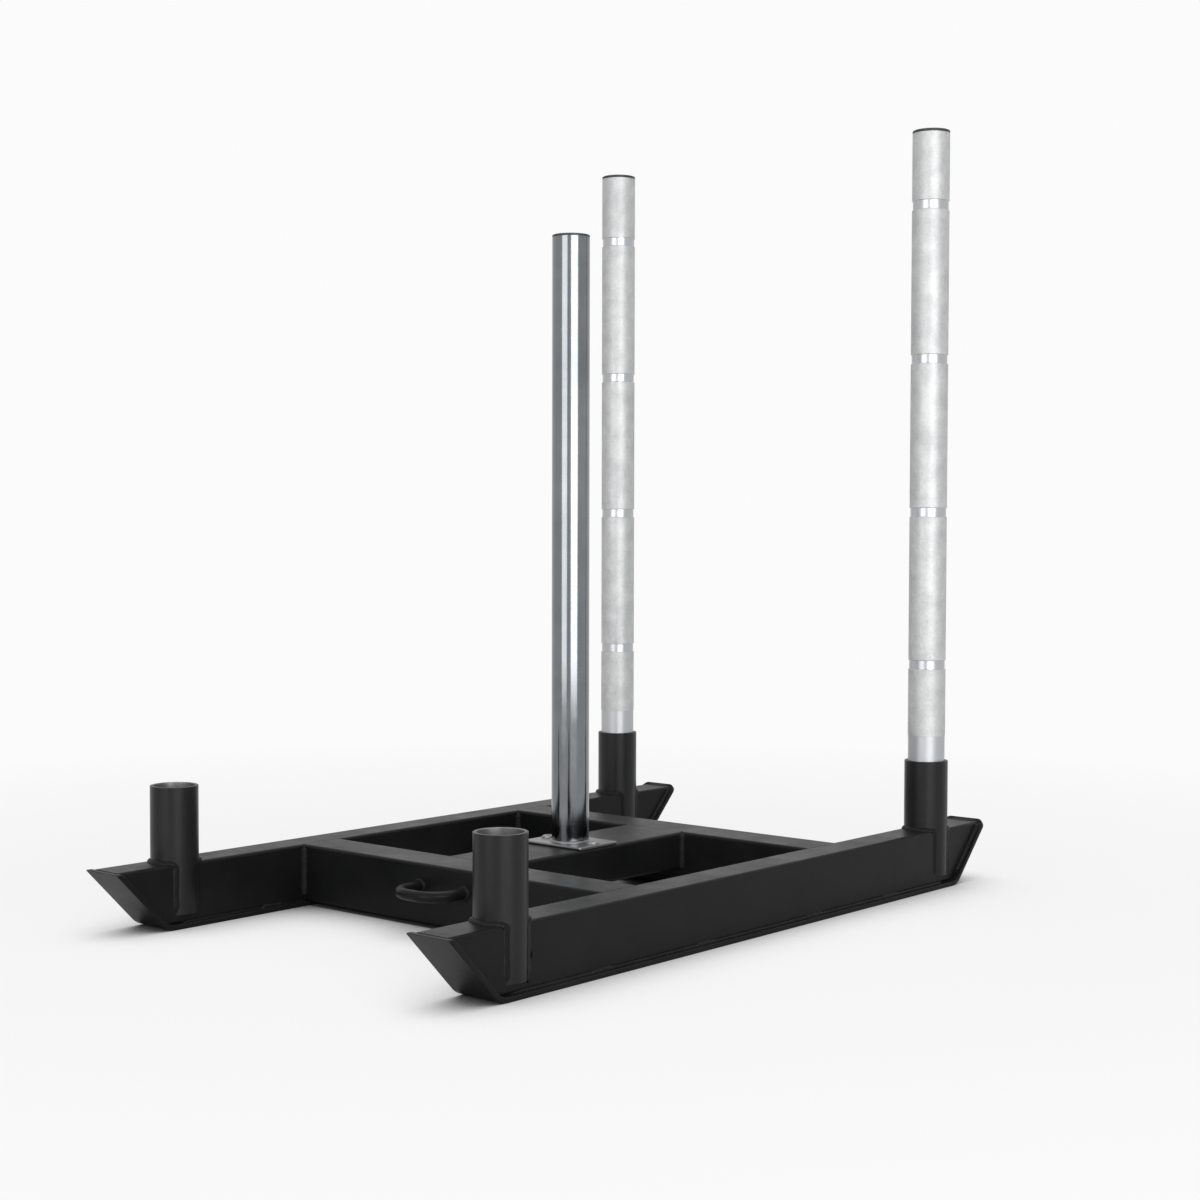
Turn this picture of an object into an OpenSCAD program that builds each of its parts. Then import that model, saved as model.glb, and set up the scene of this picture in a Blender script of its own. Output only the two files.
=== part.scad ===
// Push sled: two skid runners, two cross members, a spine with a weight post,
// four sleeves, a tow loop and two lift-out push poles.
// Millimetres. X is sideways, Y runs from the front (-Y) to the rear (+Y), Z is up.

/* [Runners] */
// Distance between the centre lines of the two runners
track_w = 568; // [480:2:640]
// Width of a runner tube
runner_w = 50; // [46:1:54]
// Height of the runner and cross tubes
frame_h = 75; // [70:1:80]
// Wall of the runner, cross and spine tubes
frame_wall = 3; // [2:0.5:3.5]
// Outside radius of the tubes' long edges
edge_r = 4; // [3:0.5:5]
// Whole length of the sled over the skid tips
overall_l = 1086; // [960:2:1200]

/* [Skid plates] */
// Width of a skid plate
skid_w = 65; // [62:1:72]
// Thickness of a skid plate
skid_t = 6; // [4:0.5:8]
// Slope of the turned-up ends
nose_angle = 46; // [44:1:50]
// Inside radius of the bends
bend_r = 24; // [18:1:26]
// How far the plate's tip stands above the runner's top
lip_h = 3.7; // [2:0.1:5]
// Corner radius of the skid plates at their rear ends
tip_r = 12; // [8:1:16]
// Corner radius of the skid plates at their front ends
sharp_tip_r = 4; // [2:1:8]

/* [Cross members and spine] */
// Distance from the middle of the sled to each cross member's centre line
cross_y = 207.5; // [190:0.5:230]
// Width of a cross member
cross_w = 65; // [56:1:74]
// Height of the spine
spine_h = 50; // [44:1:60]

/* [Sleeves] */
// Outside diameter of a sleeve
sleeve_od = 60.3; // [58.3:0.1:62]
// Wall of a sleeve
sleeve_wall = 4; // [3:0.1:4.4]
// Length of a sleeve
sleeve_l = 160; // [120:1:200]
// Height of a sleeve's lower end above the skid plate
sleeve_lift = 11; // [9:1:20]
// Distance from the skid tip to the sleeve's axis
sleeve_inset = 111; // [107:1:130]
// Chamfer round the outside of a sleeve's rim
rim_chamfer = 0.8; // [0.4:0.1:1.5]

/* [Push poles] */
// Radial clearance of a pole's spigot in its sleeve
pole_gap = 0.75; // [0.5:0.05:1]
// Gap between a pole's lower end and the sleeve's floor
pole_seat_gap = 0.3; // [0.25:0.05:0.5]
// How much larger in radius the coated length is than the spigot
pole_step = 0.4; // [0.2:0.05:0.45]
// Length of a pole tube above the sleeve's rim
pole_show = 871; // [760:1:940]
// Length of the spigot that shows above the sleeve's rim
spigot_show = 35; // [20:1:50]
// Wall of a pole
pole_wall = 3; // [2.5:0.1:4]
// Distance between the grooves of a pole
groove_pitch = 212.3; // [180:0.1:225]
// Width of a groove
groove_w = 12.3; // [8:0.1:16]
// Depth of a groove
groove_depth = 1.2; // [0.8:0.1:1.6]
// Thickness of a pole cap above the tube
pole_cap_t = 4; // [3:0.5:6]

/* [Weight post] */
// Outside diameter of the post
post_od = 50; // [46:0.5:51]
// Wall of the post
post_wall = 3; // [2:0.5:4]
// Length of the post above its base plate
post_l = 799; // [600:1:900]
// Thickness of the base plate
plate_t = 4; // [3:0.5:6]
// Length of the base plate along the spine
plate_l = 76; // [70:1:90]
// Thickness of the post's cap above the tube
post_cap_t = 3; // [2:0.5:5]
// Gap between the post's weld and the base bolts' washers
washer_gap = 1.5; // [1:0.1:4]
// Gap between the nuts and the spine's side walls
nut_gap = 1; // [0.5:0.1:3]

/* [Tow loop] */
// Diameter of the loop's round bar
loop_bar = 14; // [12:0.5:16]
// Distance between the centre lines of the loop's two legs
loop_span = 77; // [72:1:90]
// Distance from the cross member to the centre line of the loop's front bar
loop_reach = 51; // [46:1:60]
// Centre-line radius of the loop's bends
loop_bend_r = 30; // [24:1:34]
// Depth of the loop's centre line below the frame's top
loop_drop = 29; // [22:1:40]

/* [Welds] */
// Leg of the welds in the frame's upright corners
corner_leg = 6; // [4:0.5:8]
// Leg of the welds round the sleeves
ring_leg = 5; // [4:0.5:6]
// Radius of the beads beside the sleeves
seam_r = 3; // [2.5:0.1:3.5]
// Radius of the beads on the skid plates
bead_r = 3.2; // [2.6:0.1:3.6]
// Length of one stitch weld on a skid plate
stitch_l = 45; // [25:1:60]
// Leg of the welds of the tow loop
loop_leg = 3; // [2:0.5:4]
// Leg of the weld at the post's foot
post_leg = 2.5; // [1.5:0.1:2.5]

/* [Hidden] */
$fn = 96;
eps = 1;
frame_top = skid_t + frame_h;
inner_r = 1;
runner_x = track_w / 2;
inner_x = runner_x - runner_w / 2;
cope = 0.6 * edge_r;

tip_y = overall_l / 2;
tip_in_y = tip_y - skid_t * sin(nose_angle);
tip_in_z = frame_top + lip_h;
bend_out_r = bend_r + skid_t;
tip_z = tip_in_z - skid_t * cos(nose_angle);
bend_y = tip_y - tip_z / tan(nose_angle) - bend_out_r * tan(nose_angle / 2);
arc_z = bend_out_r - bend_r * cos(nose_angle);
nose_l = (tip_in_z - arc_z) / sin(nose_angle);
tip_ease = 0.15;
slope_l = (frame_top - arc_z) / sin(nose_angle);

sleeve_y = tip_y - sleeve_inset;
sleeve_z = skid_t + sleeve_lift;
sleeve_top = sleeve_z + sleeve_l;
sleeve_r = sleeve_od / 2;
bore_r = sleeve_r - sleeve_wall;
seam_y = sqrt(sleeve_r * sleeve_r - runner_w * runner_w / 4);

spigot_r = bore_r - pole_gap;
pole_r = spigot_r + pole_step;
pole_bore_r = pole_r - pole_wall;
pole_foot = sleeve_z + pole_seat_gap;
step_z = sleeve_top + spigot_show;
pole_top = sleeve_top + pole_show;
groove_mid = (step_z + pole_top) / 2;
groove_r = pole_r - groove_depth;
groove_steps = [-1.5, -0.5, 0.5, 1.5];
plug_l = 20;
plug_wall = 2;

spine_y = cross_y - cross_w / 2;
plate_top = frame_top + plate_t;
post_r = post_od / 2;
post_bore_r = post_r - post_wall;
post_top = plate_top + post_l;
bolt_r = 5;
bolt_hole_r = 5.5;
washer_r = 10;
washer_hole_r = 5.25;
washer_t = 1;
head_h = 2;
head_r = 8.5;
head_slope = 1.5;
socket_r = 3.5;
socket_depth = 3;
nut_h = 8;
hex_flat = 8;
hex_r = hex_flat / cos(30);
bolt_x = post_r + post_leg + washer_gap + washer_r;
spine_w = 2 * (bolt_x + hex_flat + nut_gap + frame_wall);
thread_end = 3;
nut_z = frame_top - frame_wall - nut_h;
shank_l = thread_end + nut_h + frame_wall + plate_t + washer_t;

loop_x = loop_span / 2;
loop_face = cross_y + cross_w / 2;
loop_z = frame_top - loop_drop;
loop_r = loop_bar / 2;
loop_leg_l = loop_reach - loop_bend_r;

bead_shift = 0.5;
bead_end = 2 * edge_r;
stitches = [-294, -104, 122, 300];
stitch_scale = overall_l / 1086;
seam_end = 0.3 * edge_r;
ring_half = runner_w / 2 - 0.4 * edge_r;

black = [0.05, 0.05, 0.055];
weld_black = [0.09, 0.09, 0.095];
chrome = [0.82, 0.83, 0.85];
galvanised = [0.66, 0.67, 0.68];
plastic = [0.03, 0.03, 0.03];
steel = [0.6, 0.6, 0.62];

// A rectangle with rounded corners, centred sideways and standing on its lower edge.
module section(w, h, r) {
    translate([-w / 2, r]) square([w, h - 2 * r]);
    translate([-w / 2 + r, 0]) square([w - 2 * r, h]);
    for (x = [-1, 1], y = [r, h - r])
        translate([x * (w / 2 - r), y]) circle(r = r);
}

// The wall of a rectangular tube seen from its end.
module tube_section(w, h) {
    difference() {
        section(w, h, edge_r);
        translate([0, frame_wall]) section(w - 2 * frame_wall, h - 2 * frame_wall, inner_r);
    }
}

// Puts a profile drawn in Y and Z upright and gives it a width along X.
module across(w) {
    rotate([90, 0, 90]) linear_extrude(height = w, center = true) children();
}

// Puts a profile drawn in X and Z upright and gives it a length along Y.
module along(l) {
    rotate([90, 0, 0]) linear_extrude(height = l, center = true) children();
}

// The space in a bend's radius, its floor and slopes drawn out to a given length of slope.
module bowl_profile(r, slope) {
    foot_z = bend_out_r - r;
    end_y = bend_y + r * sin(nose_angle);
    end_z = bend_out_r - r * cos(nose_angle);
    far_y = end_y + slope * cos(nose_angle);
    far_z = end_z + slope * sin(nose_angle);
    polygon([[-bend_y, foot_z], [bend_y, foot_z], [end_y, end_z], [far_y, far_z],
        [-far_y, far_z], [-end_y, end_z]]);
    for (s = [-1, 1])
        translate([s * bend_y, bend_out_r]) circle(r = r);
}

// The frame at the rear end of a plate's slope: Y runs up the slope, Z through the plate.
module at_nose(side, back) {
    translate([side * runner_x, 0, 0]) mirror([0, back > 0 ? 0 : 1, 0])
        translate([0, bend_y, bend_out_r]) rotate([nose_angle, 0, 0])
            translate([0, 0, -bend_out_r]) children();
}

// What is cut away to round one corner of a plate's tip. Its arc meets the edges at a slight angle.
module tip_cut(out, r) {
    mirror([out > 0 ? 0 : 1, 0, 0])
        translate([skid_w / 2 - r + tip_ease, nose_l - r + tip_ease, -eps]) difference() {
            cube([r + eps, r + eps, skid_t + 2 * eps]);
            translate([0, 0, -eps]) cylinder(h = skid_t + 4 * eps, r = r);
        }
}

module skid(side) {
    difference() {
        translate([side * runner_x, 0, 0]) across(skid_w) difference() {
            bowl_profile(bend_out_r, nose_l + 2 * skid_t);
            bowl_profile(bend_r, nose_l + 2 * bend_out_r);
        }
        for (back = [-1, 1])
            at_nose(side, back) {
                translate([-skid_w, nose_l, -skid_t]) cube([2 * skid_w, 4 * skid_t, 3 * skid_t]);
                for (out = [-1, 1])
                    tip_cut(out, back < 0 ? sharp_tip_r : tip_r);
            }
    }
}

// A runner's outside, closed and without notches.
module runner_body(side) {
    translate([side * runner_x, 0, 0]) intersection() {
        across(runner_w + 2 * eps) bowl_profile(bend_r, slope_l);
        translate([0, 0, skid_t]) along(overall_l) section(runner_w, frame_h, edge_r);
    }
}

module runner(side) {
    difference() {
        runner_body(side);
        translate([side * runner_x, 0, skid_t + frame_wall])
            along(overall_l) section(runner_w - 2 * frame_wall, frame_h - 2 * frame_wall, inner_r);
        for (back = [-1, 1])
            translate([side * runner_x, back * sleeve_y, sleeve_z])
                cylinder(h = frame_h, r = sleeve_r);
    }
}

module sleeve(side, back) {
    translate([side * runner_x, back * sleeve_y, sleeve_z]) difference() {
        union() {
            cylinder(h = sleeve_l - rim_chamfer, r = sleeve_r);
            translate([0, 0, sleeve_l - rim_chamfer])
                cylinder(h = rim_chamfer, r1 = sleeve_r, r2 = sleeve_r - rim_chamfer);
        }
        translate([0, 0, -eps]) cylinder(h = sleeve_l + 2 * eps, r = bore_r);
    }
}

module cross_tube(back) {
    difference() {
        translate([0, back * cross_y, skid_t])
            across(2 * (inner_x + cope)) tube_section(cross_w, frame_h);
        for (side = [-1, 1]) runner_body(side);
    }
}

// A cross member's outside, closed.
module cross_body(back) {
    translate([0, back * cross_y, skid_t])
        across(2 * inner_x) section(cross_w, frame_h, edge_r);
}

module spine() {
    difference() {
        translate([0, 0, frame_top - spine_h])
            along(2 * (spine_y + cope)) tube_section(spine_w, spine_h);
        for (back = [-1, 1]) cross_body(back);
        for (x = [-bolt_x, bolt_x])
            translate([x, 0, frame_top - frame_wall - eps])
                cylinder(h = frame_wall + 2 * eps, r = bolt_hole_r);
    }
}

module loop() {
    translate([0, -loop_face, loop_z]) {
        for (m = [0, 1])
            mirror([m, 0, 0]) {
                translate([loop_x, 0, 0]) rotate([90, 0, 0]) cylinder(h = loop_leg_l, r = loop_r);
                translate([loop_x - loop_bend_r, -loop_leg_l, 0]) rotate([0, 0, -90])
                    rotate_extrude(angle = 90) translate([loop_bend_r, 0]) circle(r = loop_r);
            }
        translate([0, -loop_reach, 0]) rotate([0, 90, 0])
            cylinder(h = 2 * (loop_x - loop_bend_r), r = loop_r, center = true);
    }
}

module base_plate() {
    difference() {
        translate([-spine_w / 2, -plate_l / 2, frame_top]) cube([spine_w, plate_l, plate_t]);
        for (x = [-bolt_x, bolt_x])
            translate([x, 0, frame_top - eps]) cylinder(h = plate_t + 2 * eps, r = bolt_hole_r);
    }
}

module post() {
    translate([0, 0, plate_top]) difference() {
        union() {
            cylinder(h = post_leg, r1 = post_r - post_leg, r2 = post_r);
            translate([0, 0, post_leg]) cylinder(h = post_l - post_leg, r = post_r);
        }
        translate([0, 0, -eps]) cylinder(h = post_l + 2 * eps, r = post_bore_r);
    }
}

// The weld in the chamfer at the post's foot.
module foot_weld() {
    translate([0, 0, plate_top]) difference() {
        cylinder(h = post_leg, r1 = post_r + post_leg, r2 = post_r);
        cylinder(h = post_leg, r1 = post_r - post_leg, r2 = post_r);
    }
}

// A tube's end cap: a disc with a hollow plug below it.
module end_cap(top_r, plug_r, disc_t) {
    cylinder(h = disc_t, r = top_r);
    translate([0, 0, -plug_l]) difference() {
        cylinder(h = plug_l, r = plug_r);
        translate([0, 0, -eps]) cylinder(h = plug_l - plug_wall + eps, r = plug_r - plug_wall);
    }
}

// A conical fillet round a round piece, its foot at z = 0.
module ring_fillet(r, leg) {
    difference() {
        cylinder(h = leg, r1 = r + leg, r2 = r);
        translate([0, 0, -eps]) cylinder(h = leg + 2 * eps, r = r);
    }
}

module bolts() {
    for (x = [-bolt_x, bolt_x]) {
        difference() {
            union() {
                translate([x, 0, nut_z - thread_end]) cylinder(h = shank_l, r = bolt_r);
                translate([x, 0, plate_top + washer_t]) cylinder(h = head_h, r1 = head_r, r2 = head_r - head_slope);
            }
            translate([x, 0, plate_top + washer_t + head_h - socket_depth])
                cylinder(h = socket_depth + eps, r = socket_r, $fn = 6);
        }
    }
}

module washers() {
    for (x = [-bolt_x, bolt_x])
        translate([x, 0, plate_top]) difference() {
            cylinder(h = washer_t, r = washer_r);
            translate([0, 0, -eps]) cylinder(h = washer_t + 2 * eps, r = washer_hole_r);
        }
}

module nuts() {
    for (x = [-bolt_x, bolt_x])
        translate([x, 0, nut_z]) difference() {
            rotate(30) cylinder(h = nut_h, r = hex_r, $fn = 6);
            translate([0, 0, -eps]) cylinder(h = nut_h + 2 * eps, r = bolt_r);
        }
}

// The fillet across the runner's top and the beads in the four notches of one sleeve.
module sleeve_weld(side, back) {
    difference() {
        translate([side * runner_x, back * sleeve_y, 0]) {
            intersection() {
                translate([0, 0, frame_top - edge_r]) {
                    cylinder(h = edge_r, r = sleeve_r + ring_leg);
                    translate([0, 0, edge_r])
                        cylinder(h = ring_leg, r1 = sleeve_r + ring_leg, r2 = sleeve_r);
                }
                translate([-ring_half, -sleeve_od, 0])
                    cube([2 * ring_half, 2 * sleeve_od, sleeve_top]);
            }
            for (x = [-1, 1], y = [-1, 1])
                translate([x * runner_w / 2, y * seam_y, sleeve_z])
                    cylinder(h = frame_h - sleeve_lift - seam_end, r = seam_r);
        }
        runner_body(side);
        translate([side * runner_x, back * sleeve_y, 0]) cylinder(h = sleeve_top, r = sleeve_r);
    }
}

// A straight corner weld that opens towards +X and +Y.
module corner_weld(h) {
    linear_extrude(height = h) polygon([[0, 0], [corner_leg, 0], [0, corner_leg]]);
}

module frame_corner_welds() {
    for (mx = [0, 1], my = [0, 1])
        mirror([mx, 0, 0]) mirror([0, my, 0]) {
            for (s = [-1, 1])
                translate([inner_x, cross_y + s * cross_w / 2, skid_t + edge_r])
                    mirror([1, 0, 0]) mirror([0, s > 0 ? 0 : 1, 0])
                        corner_weld(frame_h - 2 * edge_r);
            translate([spine_w / 2, spine_y, frame_top - spine_h + edge_r])
                mirror([0, 1, 0]) corner_weld(spine_h - 2 * edge_r);
        }
}

module stitch_beads(side) {
    difference() {
        for (e = [-1, 1], y = stitches)
            translate([side * runner_x + e * (runner_w / 2 + bead_shift), y * stitch_scale, skid_t])
                rotate([90, 0, 0]) cylinder(h = stitch_l, r = bead_r, center = true);
        runner_body(side);
        translate([side * runner_x, 0, -skid_t])
            linear_extrude(height = 2 * skid_t) square([skid_w, overall_l], center = true);
    }
}

// A block that holds the whole slope of a plate, up to its inner surface.
module slope_block(side, back) {
    at_nose(side, back) translate([-skid_w, -skid_w, -skid_t])
        cube([2 * skid_w, skid_w + 2 * nose_l, 2 * skid_t]);
}

// The beads down both sides of a runner's sloping end.
module nose_beads(side, back) {
    difference() {
        at_nose(side, back) translate([0, slope_l - bead_end, skid_t])
            for (e = [-1, 1])
                translate([e * (runner_w / 2 + bead_shift), 0, 0]) rotate([90, 0, 0])
                    cylinder(h = slope_l - 2 * bead_end, r = bead_r);
        runner_body(side);
        slope_block(side, back);
    }
}

// The bead between a runner's top and the lip of its plate.
module lip_bead(side, back) {
    difference() {
        at_nose(side, back) translate([0, slope_l, skid_t]) rotate([0, 90, 0])
            cylinder(h = runner_w - 2 * edge_r, r = seam_r, center = true);
        translate([side * runner_x - runner_w, -overall_l, 0])
            cube([2 * runner_w, 2 * overall_l, frame_top]);
        slope_block(side, back);
    }
}

module pole(side) {
    translate([side * runner_x, sleeve_y, 0]) difference() {
        union() {
            translate([0, 0, pole_foot]) cylinder(h = step_z - pole_foot, r = spigot_r);
            translate([0, 0, step_z]) cylinder(h = pole_top - step_z, r = pole_r);
        }
        translate([0, 0, pole_foot - eps])
            cylinder(h = pole_top - pole_foot + 2 * eps, r = pole_bore_r);
        for (k = groove_steps)
            translate([0, 0, groove_mid + k * groove_pitch - groove_w / 2]) difference() {
                cylinder(h = groove_w, r = pole_r + eps);
                translate([0, 0, -eps]) cylinder(h = groove_w + 2 * eps, r = groove_r);
            }
    }
}

module pole_cap(side) {
    translate([side * runner_x, sleeve_y, pole_top]) end_cap(pole_r, pole_bore_r, pole_cap_t);
}

module right_runner() { color(black) runner(1); }
module left_runner() { color(black) runner(-1); }
module right_skid() { color(black) skid(1); }
module left_skid() { color(black) skid(-1); }
module front_cross_tube() { color(black) cross_tube(-1); }
module rear_cross_tube() { color(black) cross_tube(1); }
module spine_tube() { color(black) spine(); }
module front_right_sleeve() { color(black) sleeve(1, -1); }
module front_left_sleeve() { color(black) sleeve(-1, -1); }
module rear_right_sleeve() { color(black) sleeve(1, 1); }
module rear_left_sleeve() { color(black) sleeve(-1, 1); }
module tow_loop() { color(black) loop(); }
module post_base_plate() { color(chrome) base_plate(); }
module weight_post() { color(chrome) post(); }
module post_cap() {
    color(plastic) translate([0, 0, post_top]) end_cap(post_r, post_bore_r, post_cap_t);
}
module post_weld() { color(chrome) foot_weld(); }
module base_bolts() { color(steel) bolts(); }
module base_washers() { color(steel) washers(); }
module base_nuts() { color(steel) nuts(); }
module sleeve_welds() {
    color(weld_black) for (side = [-1, 1], back = [-1, 1]) sleeve_weld(side, back);
}
module corner_welds() { color(weld_black) frame_corner_welds(); }
module stitch_welds() { color(weld_black) for (side = [-1, 1]) stitch_beads(side); }
module nose_welds() {
    color(weld_black) for (side = [-1, 1], back = [-1, 1]) {
        nose_beads(side, back);
        lip_bead(side, back);
    }
}
module loop_welds() {
    color(weld_black) for (x = [-loop_x, loop_x])
        translate([x, -loop_face, loop_z]) rotate([90, 0, 0]) ring_fillet(loop_r, loop_leg);
}
module right_pole() { color(galvanised) pole(1); }
module left_pole() { color(galvanised) pole(-1); }
module right_pole_cap() { color(plastic) pole_cap(1); }
module left_pole_cap() { color(plastic) pole_cap(-1); }

right_runner();
left_runner();
right_skid();
left_skid();
front_cross_tube();
rear_cross_tube();
spine_tube();
front_right_sleeve();
front_left_sleeve();
rear_right_sleeve();
rear_left_sleeve();
tow_loop();
post_base_plate();
weight_post();
post_cap();
post_weld();
base_bolts();
base_washers();
base_nuts();
sleeve_welds();
corner_welds();
stitch_welds();
nose_welds();
loop_welds();
right_pole();
left_pole();
right_pole_cap();
left_pole_cap();
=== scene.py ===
# Push sled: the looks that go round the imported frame.
# Metres. X is sideways, the tow loop is at -Y, the push poles stand at +Y, Z is up.
import math

import bmesh
import bpy
import numpy as np
from mathutils import Matrix, Vector


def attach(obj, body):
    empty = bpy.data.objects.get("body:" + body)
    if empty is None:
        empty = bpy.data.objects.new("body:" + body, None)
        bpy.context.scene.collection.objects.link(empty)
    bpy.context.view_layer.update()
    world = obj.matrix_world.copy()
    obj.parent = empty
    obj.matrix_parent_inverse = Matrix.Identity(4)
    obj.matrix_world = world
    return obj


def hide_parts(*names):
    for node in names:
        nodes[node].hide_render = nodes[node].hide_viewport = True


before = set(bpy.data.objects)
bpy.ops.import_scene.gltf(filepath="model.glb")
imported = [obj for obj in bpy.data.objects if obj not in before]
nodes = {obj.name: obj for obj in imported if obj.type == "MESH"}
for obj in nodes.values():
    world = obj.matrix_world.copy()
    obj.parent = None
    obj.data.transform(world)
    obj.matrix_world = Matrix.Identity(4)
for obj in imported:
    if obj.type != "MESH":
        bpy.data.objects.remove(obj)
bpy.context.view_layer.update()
print("frame loaded:", len(nodes), "nodes")

# Sizes that the new pieces share with the frame, in millimetres
sled = {
    "runnerX": 284.0,
    "runnerHalf": 25.0,
    "edgeRound": 4.0,
    "frameTop": 81.0,
    "plate": 6.0,
    "crossY": 207.5,
    "crossHalf": 32.5,
    "spineHalf": 51.0,
    "spineLow": 31.0,
    "sleeveY": 432.0,
    "sleeveLow": 17.0,
    "sleeveTop": 177.0,
    "sleeveRadius": 30.15,
    "boreRadius": 26.15,
    "plateTop": 85.0,
    "postRadius": 25.0,
}
toMetres = 0.001

# Meshes worked out as whole arrays


# Rows of closed sections become one closed skin. Each quad joins a point to its neighbours along
# the row and on the next row. Open ends get a fan of triangles round the row's middle.
def skin(rows, ring=False):
    rows = np.asarray(rows, float)
    count, around = rows.shape[:2]
    i, j = np.meshgrid(np.arange(count if ring else count - 1), np.arange(around), indexing="ij")
    i2, j2 = (i + 1) % count, (j + 1) % around
    quads = np.stack([i * around + j, i2 * around + j, i2 * around + j2, i * around + j2],
        -1).reshape(-1, 4)
    points = rows.reshape(-1, 3)
    fans = np.zeros((0, 3), int)
    if not ring:
        k = np.arange(around)
        k2 = (k + 1) % around
        last = (count - 1) * around
        low, high = len(points), len(points) + 1
        points = np.vstack([points, rows[0].mean(0), rows[-1].mean(0)])
        fans = np.vstack([
            np.stack([np.full(around, low), k, k2], -1),
            np.stack([np.full(around, high), last + k2, last + k], -1),
        ])
    # six times the volume: the sum of the corners' triple products, negative when inside out
    tris = np.vstack([quads[:, :3], quads[:, [0, 2, 3]], fans])
    a, b, c = (points[tris[:, n]] for n in range(3))
    if np.einsum("ij,ij->i", a, np.cross(b, c)).sum() < 0:
        quads, fans = quads[:, ::-1], fans[:, ::-1]
    return points, quads, fans


# A flat outline of corners, each rounded by an arc of its own radius. An arc's points run from one
# tangent point to the other about the corner's centre; a radius of zero leaves the corner sharp.
def rounded(corners, radii, closed, steps=6):
    corners = np.asarray(corners, float)
    out = []
    for n, radius in enumerate(radii):
        here = corners[n]
        if radius <= 0 or (not closed and n in (0, len(corners) - 1)):
            out.append(here[None])
            continue
        back = corners[n - 1] - here
        ahead = corners[(n + 1) % len(corners)] - here
        back, ahead = back / np.linalg.norm(back), ahead / np.linalg.norm(ahead)
        half = math.acos(np.clip(back @ ahead, -1, 1)) / 2
        middle = (back + ahead) / np.linalg.norm(back + ahead)
        centre = here + middle * radius / math.sin(half)
        first = here + back * radius / math.tan(half) - centre
        second = here + ahead * radius / math.tan(half) - centre
        angle = math.acos(np.clip(first @ second / radius ** 2, -1, 1))
        t = np.linspace(0, 1, steps)[:, None]
        arc = (np.sin((1 - t) * angle) * first + np.sin(t * angle) * second) / math.sin(angle)
        out.append(centre + arc)
    return np.vstack(out)


# Turned shape: every (radius, height) of the profile goes once round an upright axis at centre.
def turned(profile, centre, around, ring):
    angle = np.linspace(0, 2 * np.pi, around, endpoint=False)
    radius, height = np.asarray(profile, float).T
    rows = np.stack([
        centre[0] + np.outer(radius, np.cos(angle)),
        centre[1] + np.outer(radius, np.sin(angle)),
        np.repeat(height[:, None], around, 1),
    ], -1)
    return skin(rows, ring)


# Even steps along a bent line: lengths are added up and the points read off at equal distances.
def evenly(line, step):
    length = np.r_[0, np.cumsum(np.linalg.norm(np.diff(line, axis=0), axis=1))]
    at = np.linspace(0, length[-1], max(int(length[-1] / step), 8))
    return at, np.stack([np.interp(at, length, line[:, k]) for k in range(3)], -1)


beadLook = {
    "pitch": 2.6, "rowsPerRipple": 6, "ripple": 0.10, "bow": 0.42, "crown": 1.15, "endLength": 8.0,
    "columns": 12, "plainStep": 8.0, "slowDrift": 0.05, "slowLength": 7.3, "quickDrift": 0.04,
    "quickLength": 2.9,
}


# A weld bead along a corner. toA and toB point from the corner along the two faces it joins. The
# face runs from the foot on A to the foot on B as a superellipse, and scallops like stacked coins,
# bowed along the travel, lift it. The legs shrink to nothing over the ends unless it is a ring.
def bead(corner, toA, toB, legA, legB, root=0.4, ring=False, ripple=None):
    look = beadLook
    ripple = look["ripple"] if ripple is None else ripple
    step = look["pitch"] / look["rowsPerRipple"] if ripple else look["plainStep"]
    length = np.r_[0, np.cumsum(np.linalg.norm(np.diff(corner, axis=0), axis=1))]
    if ring:
        total = length[-1] + np.linalg.norm(corner[0] - corner[-1])
        pitch = total / max(round(total / look["pitch"]), 1)
        at, line, a, b = length, corner, toA, toB
        swell = np.ones(len(at))
    else:
        at, line = evenly(corner, step)
        a = np.stack([np.interp(at, length, toA[:, k]) for k in range(3)], -1)
        b = np.stack([np.interp(at, length, toB[:, k]) for k in range(3)], -1)
        pitch = look["pitch"]
        # the ends swell from nothing as 3t^2 - 2t^3 over the end length
        fromEnd = np.clip(np.minimum(at, at[-1] - at) / look["endLength"], 0, 1)
        swell = fromEnd ** 2 * (3 - 2 * fromEnd)
    s = np.linspace(0, 1, look["columns"])
    # the size drifts slowly and quickly along the bead, begun by where it lies, so no two are alike
    slow = look["slowDrift"] * np.sin(at / look["slowLength"] + corner[0].sum())
    quick = look["quickDrift"] * np.sin(at / look["quickLength"] + corner[-1].sum() * 0.7)
    wander = 1 + slow + quick
    phase = at[:, None] / pitch - look["bow"] * np.sin(np.pi * s)[None]
    scallop = 1 - (2 * (phase % 1) - 1) ** 2
    lift = 1 + ripple * (scallop - 0.5) * np.sin(np.pi * s)[None] ** 0.5
    sizeA = (legA * wander * swell)[:, None] * lift * np.cos(np.pi * s / 2)[None] ** look["crown"]
    sizeB = (legB * wander * swell)[:, None] * lift * np.sin(np.pi * s / 2)[None] ** look["crown"]
    face = line[:, None] + sizeA[..., None] * a[:, None] + sizeB[..., None] * b[:, None]
    inner = line - root * swell[:, None] * (a + b)
    return skin(np.concatenate([face, inner[:, None]], 1), ring)


meshCare = {"merge": 2e-7, "collapse": 1e-8, "flatWeight": 50}


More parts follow.
